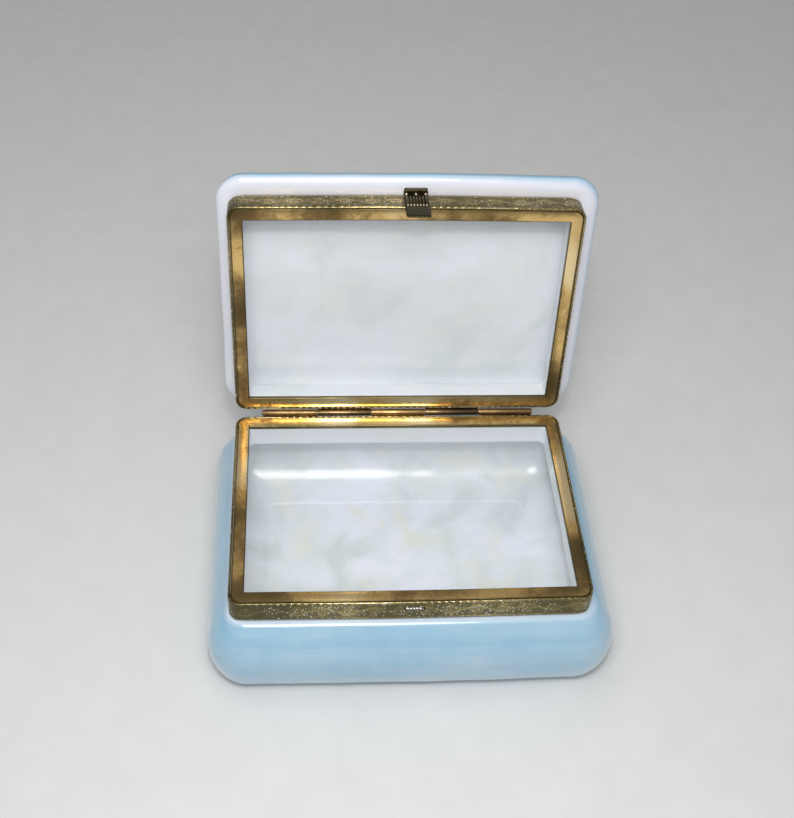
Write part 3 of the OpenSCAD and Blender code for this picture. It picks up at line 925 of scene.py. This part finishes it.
def hinge_leaf(name, body, node, indices, brass):
    """A strip along the band and the knuckles rolled from it."""
    half, pitch, gap, bevel = HINGE_LEN / 2, HINGE_LEN / KNUCKLES, 0.12, 0.15
    top, low = HINGE_Z - KNUCKLE_R - 0.35, HINGE_Z - 0.15 - LEAF_H
    y0, y1 = HALF_D + 0.01, HALF_D + LEAF_T
    strip = [(y0, low), (y1 - 0.2, low), (y1, low + 0.2), (y1, top - bevel), (y1 - bevel, top),
             (y0, top)]
    parts = [bar_along_x(strip, 0.1 - half, half - 0.1, 0.2, 0.93)]
    for k in indices:
        x0 = k * pitch - half
        parts.append(bar_along_x(rolled_knuckle(), x0 + gap, x0 + pitch - gap, 0.12, 0.97))
    points, faces = join_parts(parts)
    if body == "lid":
        points[:, 2] = 2 * HINGE_Z - points[:, 2]
    return make_piece(name, points, faces, body, [node], [brass],
                      crease=42, fix_normals=True)


def hinge_pin():
    """Pin with a domed head at each end."""
    pin_r, head_r, head_t = 0.6, 0.95, 0.5
    half = HINGE_LEN / 2
    end = [(half, head_r), (half + 0.25, head_r), (half + 0.42, 0.75 * head_r),
           (half + head_t, 0.3)]
    outline = [(-x, r) for x, r in reversed(end)] + [(-half, pin_r)]
    outline += [(x, pin_r) for x in np.linspace(-half + 5, half - 5, 9)] + [(half, pin_r)] + end
    circle = arc(0, 0, 1, 1, 0, 360, 28)[:-1]
    points, faces = loft([[(x, HINGE_Y + r * y, HINGE_Z + r * z) for y, z in circle]
                          for x, r in outline])
    return make_piece("hinge_pin_rod", points, faces, "base", ["hinge_pin"],
                      [hinge_brass], crease=42, fix_normals=True)


hinge_leaf("base_hinge", "base", "base_hinge_leaf", (0, 2, 4), hinge_brass)
# the lid's leaf carries the brass painted darker as shade
hinge_leaf("lid_hinge", "lid", "lid_hinge_leaf", (1, 3), shaded_hinge_brass)
hinge_pin()


# ---------- clasp and catch

def front_points(across, outward, z, x0):
    """Points from x across, distance outward from the front band's face and height."""
    across, outward, z = np.broadcast_arrays(across, outward, z)
    return np.stack([across + x0, -HALF_D - outward, z], axis=-1)


def slab(front, back):
    """A closed solid between two grids of points of the same shape."""
    n, m = front.shape[:2]
    points = np.vstack([front.reshape(-1, 3), back.reshape(-1, 3)])
    firsts = [side + i * m + j for side in (0, n * m) for i in range(n - 1) for j in range(m - 1)]
    faces = [(a, a + 1, a + m + 1, a + m) for a in firsts]
    rim = [i * m for i in range(n)] + [(n - 1) * m + j for j in range(1, m)]
    rim += [i * m + m - 1 for i in range(n - 2, -1, -1)] + list(range(m - 2, 0, -1))
    faces += [(a, b, b + n * m, a + n * m) for a, b in zip(rim, rim[1:] + rim[:1])]
    return points, faces


def ball(centre, r, turns=20, rings=12):
    """A round bead."""
    t = (np.arange(1, rings) * math.pi / rings - math.pi / 2)[:, None]
    a = (np.arange(turns) * 2 * math.pi / turns)[None, :]
    shell = np.stack(np.broadcast_arrays(np.cos(t) * np.cos(a), np.cos(t) * np.sin(a), np.sin(t)),
                     axis=-1).reshape(-1, 3)
    points = np.vstack([(0, 0, -1), shell, (0, 0, 1)]) * r + centre
    last = len(points) - 1
    faces = [(0, 1 + (k + 1) % turns, 1 + k) for k in range(turns)]
    faces += [tuple(1 + v for v in quad) for quad in ring_faces(rings - 1, turns, closed=False)]
    faces += [(last - turns + k, last - turns + (k + 1) % turns, last) for k in range(turns)]
    return points, faces


def clasp_tab():
    """Ribbed thumb piece on the lid's front band, with three beads and a lip to lift it by."""
    low, high = clasp_lo[2], clasp_hi[2]
    reach = -HALF_D - clasp_lo[1]
    wide = (clasp_hi[0] - clasp_lo[0]) / 2 - 0.01
    face, plate_t, corner_r = 1.1, 0.3, 1.1
    back_low, back_high = 0.35, 0.02    # the hanging part clears the base's band
    n_ribs, rib_r = 7, 0.438
    pitch = (2 * wide - 0.9) / n_ribs
    rib_top = high - 2.2
    drop_z, drop_share = high - 8.1, 0.33
    z = np.linspace(low, high, 110)[:, None]
    t = np.linspace(-1, 1, 113)[None, :]
    below = np.clip(low + corner_r - z, 0, corner_r)
    round_low = corner_r - np.sqrt(np.clip(corner_r ** 2 - below ** 2, 0, None))
    half = wide - 0.25 * smoothstep(high - 2.6, high - 1.2, z) - round_low
    across = t * half
    # ribs with rounded ends, between the hanging edge and the lid's band
    phase = across / pitch
    in_rib = (phase - np.round(phase)) * pitch / rib_r
    tall = np.sqrt(np.clip(1 - in_rib ** 2, 0, 1)) * (np.abs(phase) < n_ribs / 2)
    ends = smoothstep(low + 0.25, low + 0.8, z) * (1 - smoothstep(rib_top - 0.5, rib_top, z))
    tall = tall * np.sqrt(np.clip(ends, 0, 1))
    # part of the way down the ribs round off to a share of their height
    drop = np.clip((drop_z - z) / 0.5, 0, 1)
    # painted glint where the ribs round off
    rib_end_glint = (drop > 0.25) * (drop < 0.98) * (tall > 0.6)
    rib = tall * (drop_share + (1 - drop_share) * np.sqrt(1 - drop ** 2))
    edge = smoothstep(0.0, 0.25, half - np.abs(across)) * smoothstep(0, 0.2, z - low)
    belly = 0.3 * np.clip(1 - ((z - rib_top + 2.6) / 2.6) ** 2, -1, 1)
    edge_out = back_low + plate_t
    outward = edge_out + (face + belly - edge_out) * edge + rib_r * rib
    clear = 1 - smoothstep(LID_Z + 1, LID_Z + 1.4, z)
    back = back_high + (back_low - back_high) * clear + 0 * across
    body = slab(front_points(across, outward, z, CLASP_X), front_points(across, back, z, CLASP_X))
    # lip: a bar that stands out at the top and sags a little halfway
    s = np.linspace(0, 1, 26)[:, None]
    w = np.linspace(-1, 1, 41)[None, :]
    lip_half = wide * (1 - 0.06 * s ** 2) * np.sqrt(1 - 0.14 * np.clip(s - 0.8, 0, 1) ** 2 * 25)
    lip_out = 0.4 + (reach - 0.42) * s
    lip_top = high - 0.02 - 0.12 * np.sin(math.pi * s) - 0.05 * w ** 4
    taper = (1 - 0.55 * smoothstep(0.82, 1, s)) * (1 - 0.35 * smoothstep(0.9, 1, np.abs(w)))
    lip_low = lip_top - 0.86 * taper
    lip = slab(front_points(w * lip_half, lip_out, lip_top, CLASP_X),
               front_points(w * lip_half, lip_out, lip_low, CLASP_X))
    beads = [ball((CLASP_X + x * 0.78 * wide, -HALF_D - face - 0.1, high - 1.4), 0.6)
             for x in (-1, 0, 1)]
    points, faces = join_parts([body, lip] + beads)
    # ribs and beads are rubbed bright, the ribs' rounded ends carry a painted glint, and the back
    # and the lip stay darker
    ribbed = np.maximum(0.75 * tall, rib_end_glint).reshape(-1)
    n_beads = sum(len(bead_points) for bead_points, _ in beads)
    relief = np.concatenate([ribbed, np.full(ribbed.size, 0.5), np.full(2 * lip_top.size, 0.3),
                             np.full(n_beads, 0.95)])
    return make_piece("clasp_thumb_piece", points, faces, "lid", ["clasp_tab"],
                      [clasp_brass], values={"relief": relief}, crease=50, fix_normals=True)


def catch():
    """Sprung strip with a fluted round nose that stands in the slot."""
    strip_w, strip_h, strip_t, face = 14, 3.6, 0.4, -1.1
    nose_w, nose_r, nose_o, nose_drop = SLOT_W - 0.5, 0.62, -0.45, 0.25
    x = np.linspace(-1, 1, 97)[:, None]
    z = np.linspace(-1, 1, 25)[None, :]
    bow = 0.06 * (1 - x ** 2)
    flat_x, flat_z = x * strip_w / 2, z * strip_h / 2 * (1 - 0.08 * x ** 8)
    strip = slab(front_points(flat_x, face - bow + 0 * z, SLOT_Z + flat_z, SLOT_X),
                 front_points(flat_x, face - strip_t + 0 * z, SLOT_Z + flat_z, SLOT_X))
    angle = z * math.pi / 2
    flute = 0.5 - 0.5 * np.cos(x * 6 * math.pi)
    swell = np.clip(1 - np.abs(x) ** 10, 0, 1) ** 0.5 * (1 - 0.22 * flute)
    nose_x = x * nose_w / 2
    front_o = nose_o + nose_r * np.cos(angle) * (0.25 + 0.75 * swell)
    front_z = SLOT_Z - nose_drop + nose_r * np.sin(angle) * (0.8 + 0.2 * swell)
    nose = slab(front_points(nose_x, front_o, front_z, SLOT_X),
                front_points(nose_x, face - 0.1 + 0 * z, front_z, SLOT_X))
    points, faces = join_parts([strip, nose])
    return make_piece("catch_strip", points, faces, "catch", ["catch_spring"],
                      [spring], crease=50, fix_normals=True)


clasp_tab()
catch()


# ---------- floor, lights and camera

BOX_MIDDLE = Vector((0, 0, 0.05))


def add_floor():
    size = 3.0
    mesh = bpy.data.meshes.new("floor")
    corners = [(-size, -size, 0), (size, -size, 0), (size, size, 0), (-size, size, 0)]
    mesh.from_pydata(corners, [], [(0, 1, 2, 3)])
    mesh.materials.append(pale_floor())
    add_object("floor", mesh)


def area_light(name, place, size, watts):
    """A round lamp that faces the middle of the box."""
    lamp = bpy.data.lights.new(name, "AREA")
    lamp.energy = watts
    lamp.shape = "DISK"
    lamp.size = size
    holder = add_object(name, lamp)
    holder.location = place
    holder.rotation_mode = "QUATERNION"
    holder.rotation_quaternion = (BOX_MIDDLE - Vector(place)).to_track_quat("-Z", "Y")


def add_world(strength):
    """Soft pale surround, brighter overhead than at the horizon."""
    world = bpy.data.worlds.new("studio")
    bpy.context.scene.world = world
    world.use_nodes = True
    nodes, links = world.node_tree.nodes, world.node_tree.links
    place = nodes.new("ShaderNodeTexCoord")
    split = nodes.new("ShaderNodeSeparateXYZ")
    ramp = nodes.new("ShaderNodeValToRGB")
    links.new(place.outputs["Generated"], split.inputs[0])
    links.new(split.outputs["Z"], ramp.inputs["Fac"])
    links.new(ramp.outputs["Color"], nodes["Background"].inputs["Color"])
    ramp.color_ramp.elements[0].color = (0.36, 0.37, 0.38, 1)
    ramp.color_ramp.elements[1].color = (1, 1, 1, 1)
    nodes["Background"].inputs["Strength"].default_value = strength


def add_camera():
    """Camera at the photograph's viewing angle."""
    azimuth, elevation, roll = math.radians(-6.38), math.radians(45.68), math.radians(-4.20)
    eye = Vector((-35.17, -266.68, 363.40)) * MM
    level = math.cos(elevation)
    back = Vector((math.sin(azimuth) * level, -math.cos(azimuth) * level, math.sin(elevation)))
    right = (-back).cross(Vector((0, 0, 1))).normalized()
    up = right.cross(-back)
    turned_right = math.cos(roll) * right - math.sin(roll) * up
    turned_up = math.sin(roll) * right + math.cos(roll) * up
    data = bpy.data.cameras.new("camera")
    data.sensor_width, data.lens = 36, 52.893
    data.clip_start, data.clip_end = 0.01, 20
    camera = add_object("camera", data)
    turn = Matrix((turned_right, turned_up, back)).transposed().to_4x4()
    camera.matrix_world = Matrix.Translation(eye) @ turn
    bpy.context.scene.camera = camera


add_floor()
add_world(0.42)
area_light("key", (-0.04, -0.25, 0.46), 0.26, 1.35)
area_light("flash", (-0.03, -0.22, 0.43), 0.03, 0.35)
area_light("overhead", (-0.25, 0.1, 0.9), 0.7, 0.9)
add_camera()

bpy.context.scene.view_settings.view_transform = "Standard"
